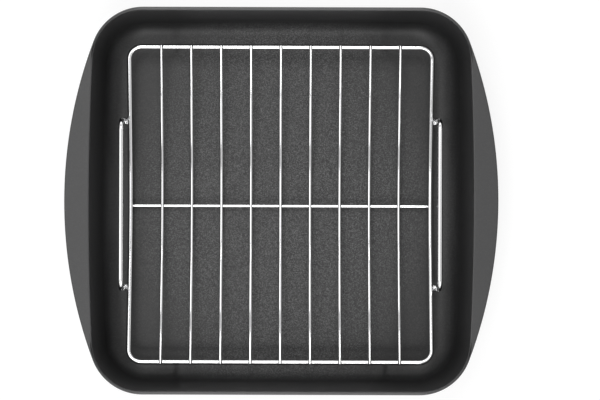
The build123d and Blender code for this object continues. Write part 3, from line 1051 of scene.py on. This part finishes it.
class WeldsOperator(bpy.types.Operator):
    """Set weld beads where wires meet"""

    bl_idname = "roasting_pan.welds"
    bl_label = "Build welds"

    def execute(self, context):
        sizes = context.scene.rack_sizes
        slope_sin = sin(sizes.vee_slope)
        slope_cos = cos(sizes.vee_slope)
        touch = LOOP_WIRE / 2 - sizes.weld_sink / 2
        end_places = []
        cross_places = []
        for number in range(THIN_WIRE_COUNT):
            x = thin_wire_x(number)
            cross_places.append(Vector((RACK_MIDDLE.x + x, CROSS_WIRE.y, CROSS_HIGH.z)))
            for end in (1, -1):
                y = end * (LOOP_LENGTH / 2 - touch * slope_sin)
                end_places.append(on_rack(x, y, LOOP_TOP + touch * slope_cos))
        rail_x = (RAIL_HIGH.x - RAIL_LOW.x - sizes.foot_wire) / 2
        eye_x = (LOOP_WIDTH + LOOP_WIRE) / 2 + EYE_WELD_OUTSET
        places = {
            "end_welds": end_places,
            "cross_welds": cross_places,
            "foot_welds": at_four_corners(rail_x, LOOP_LENGTH / 2, LOOP_TOP - touch),
            "eye_welds": at_four_corners(eye_x, EYE_FROM_MIDDLE, PIVOT.z),
            "butt_welds": cross_wire_ends(),
        }
        for name, half_size in WELD_SIZES.items():
            mesh = bead_mesh(name, places[name], half_size, weld_plating())
            add_piece(name, mesh, weld_plating(), "rack")
        return {"FINISHED"}


# Stage, with places in the picture counted in its pixels

PIXEL_AT_RIM = 0.8982 * MM
VIEW_HEIGHT = 1.5
SENSOR = 36.0
IMAGE_WIDTH = 600
IMAGE_HEIGHT = 400
PAN_CENTRE_X = 281.3
PAN_CENTRE_Y = 201.0
PAN_TURN = radians(0.17)
LIGHT_TARGET = Vector((0, 0, 0))
FLOOR_REACH = 6.0
FLOOR_Z = -0.2 * MM
GLOW_SHARE = 0.75
GLOW = 1.1
WORLD_OVERHEAD = 0.75
WORLD_HORIZON = 1.3
SOFTBOXES = {
    "front_softbox": {"place": (-0.15, -1.15, 1.85), "width": 1.1, "depth": 0.9, "watts": 22.5},
    "low_front_softbox": {"place": (0, -1.8, 1.45), "width": 1.4, "depth": 0.9, "watts": 12},
    "back_softbox": {"place": (-0.15, 0.9, 2.0), "width": 1.0, "depth": 0.9, "watts": 18},
    "low_back_softbox": {"place": (0, 2.2, 1.0), "width": 1.6, "depth": 0.7, "watts": 9},
    "left_softbox": {"place": (-0.88, 0, 2.0), "width": 0.8, "depth": 1.6, "watts": 9.5},
}


def make_camera():
    """Camera straight over the pan, with the frame shifted as in the photograph."""
    camera = bpy.data.cameras.new("camera")
    camera.sensor_width = SENSOR
    camera.lens = SENSOR * VIEW_HEIGHT / (IMAGE_WIDTH * PIXEL_AT_RIM)
    camera.shift_x = (IMAGE_WIDTH / 2 - PAN_CENTRE_X) / IMAGE_WIDTH
    camera.shift_y = (PAN_CENTRE_Y - IMAGE_HEIGHT / 2) / IMAGE_WIDTH
    holder = bpy.data.objects.new("camera", camera)
    holder.location = (0, 0, PAN_HEIGHT + VIEW_HEIGHT)
    holder.rotation_euler = (0, 0, PAN_TURN)
    bpy.context.scene.collection.objects.link(holder)
    bpy.context.scene.camera = holder


def make_light(name, place, width, depth, watts):
    """A rectangular softbox that points at the pan."""
    lamp = bpy.data.lights.new(name, "AREA")
    lamp.shape = "RECTANGLE"
    lamp.size = width
    lamp.size_y = depth
    lamp.energy = watts
    holder = bpy.data.objects.new(name, lamp)
    holder.location = place
    holder.rotation_euler = (LIGHT_TARGET - Vector(place)).to_track_quat("-Z", "Y").to_euler()
    holder.visible_camera = False
    bpy.context.scene.collection.objects.link(holder)


def seen_share(graph):
    """1 for rays that show the backdrop: from the camera, a reflection or through glass."""
    path = graph.add("ShaderNodeLightPath")
    outputs = path.socket.node.outputs
    camera, glossy, through = [
        Signal(graph, outputs[name]) for name in ("Is Camera Ray", "Is Glossy Ray", "Is Transmission Ray")
    ]
    return camera.at_least(glossy).at_least(through)


def make_world():
    """A white backdrop for reflections and the camera, dimmer overhead, where the camera stands."""
    world = bpy.data.worlds.new("studio")
    bpy.context.scene.world = world
    graph = Graph(world)
    seen = seen_share(graph)
    direction = graph.add("ShaderNodeTexCoord", output="Generated")
    height = abs(graph.split(direction)[2])
    level = seen * (WORLD_HORIZON - height * (WORLD_HORIZON - WORLD_OVERHEAD))
    background = graph.add("ShaderNodeBackground", sockets={"Color": (1, 1, 1, 1), "Strength": level})
    graph.add("ShaderNodeOutputWorld", sockets={"Surface": background})


def make_floor(finishes):
    """A pale floor just under the pan, which shows white and still keeps the pan's shadow."""
    mesh = bpy.data.meshes.new("floor")
    directions = ((-1, -1), (1, -1), (1, 1), (-1, 1))
    corners = [(x * FLOOR_REACH, y * FLOOR_REACH, FLOOR_Z) for x, y in directions]
    mesh.from_pydata(corners, [], [(0, 1, 2, 3)])
    floor = bpy.data.objects.new("floor", mesh)
    bpy.context.scene.collection.objects.link(floor)
    graph = Graph(bpy.data.materials.new("floor"))
    paint = graph.add("ShaderNodeBsdfDiffuse", sockets={"Color": rgba(finishes.backdrop)})
    lit = graph.add("ShaderNodeEmission", sockets={"Color": (1, 1, 1, 1), "Strength": GLOW})
    mixed = graph.add("ShaderNodeMixShader", sockets={0: seen_share(graph) * GLOW_SHARE, 1: paint, 2: lit})
    graph.add("ShaderNodeOutputMaterial", sockets={"Surface": mixed})
    mesh.materials.append(graph.owner)


class StageOperator(bpy.types.Operator):
    """Set up the floor, the lights and the camera"""

    bl_idname = "roasting_pan.stage"
    bl_label = "Build stage"

    def execute(self, context):
        make_camera()
        make_world()
        make_floor(context.scene.pan_finishes)
        for name, softbox in SOFTBOXES.items():
            make_light(name, **softbox)
        context.scene.view_settings.view_transform = "Standard"
        return {"FINISHED"}


# Panel and registration


class DressingPanel(bpy.types.Panel):
    """Sizes, finishes and building steps of the roasting pan"""

    bl_idname = "VIEW3D_PT_roasting_pan"
    bl_label = "Roasting Pan"
    bl_space_type = "VIEW_3D"
    bl_region_type = "UI"
    bl_category = "Roasting Pan"

    def draw(self, context):
        scene = context.scene
        for group in (scene.pan_sizes, scene.rack_sizes, scene.pan_finishes):
            box = self.layout.box()
            for name in group.__annotations__:
                box.prop(group, name)
        for operator in OPERATORS:
            self.layout.operator(operator.bl_idname)


OPERATORS = (
    PanOperator,
    FrameLoopOperator,
    ThinWiresOperator,
    FootRailsOperator,
    HandlesOperator,
    WeldsOperator,
    StageOperator,
)
CLASSES = (PanSizes, RackSizes, Finishes, *OPERATORS, DressingPanel)


def register():
    """Make the sizes, finishes, building steps and panel known."""
    for item in CLASSES:
        bpy.utils.register_class(item)
    bpy.types.Scene.pan_sizes = PointerProperty(type=PanSizes)
    bpy.types.Scene.rack_sizes = PointerProperty(type=RackSizes)
    bpy.types.Scene.pan_finishes = PointerProperty(type=Finishes)


def unregister():
    """Take them away again, the last one first."""
    del bpy.types.Scene.pan_finishes
    del bpy.types.Scene.rack_sizes
    del bpy.types.Scene.pan_sizes
    for item in reversed(CLASSES):
        bpy.utils.unregister_class(item)


def main():
    """Register the add-on and build everything."""
    register()
    bpy.ops.roasting_pan.casting()
    bpy.ops.roasting_pan.frame_loop()
    bpy.ops.roasting_pan.thin_wires()
    bpy.ops.roasting_pan.foot_rails()
    bpy.ops.roasting_pan.handles()
    bpy.ops.roasting_pan.welds()
    bpy.ops.roasting_pan.stage()


if __name__ == "__main__":
    main()
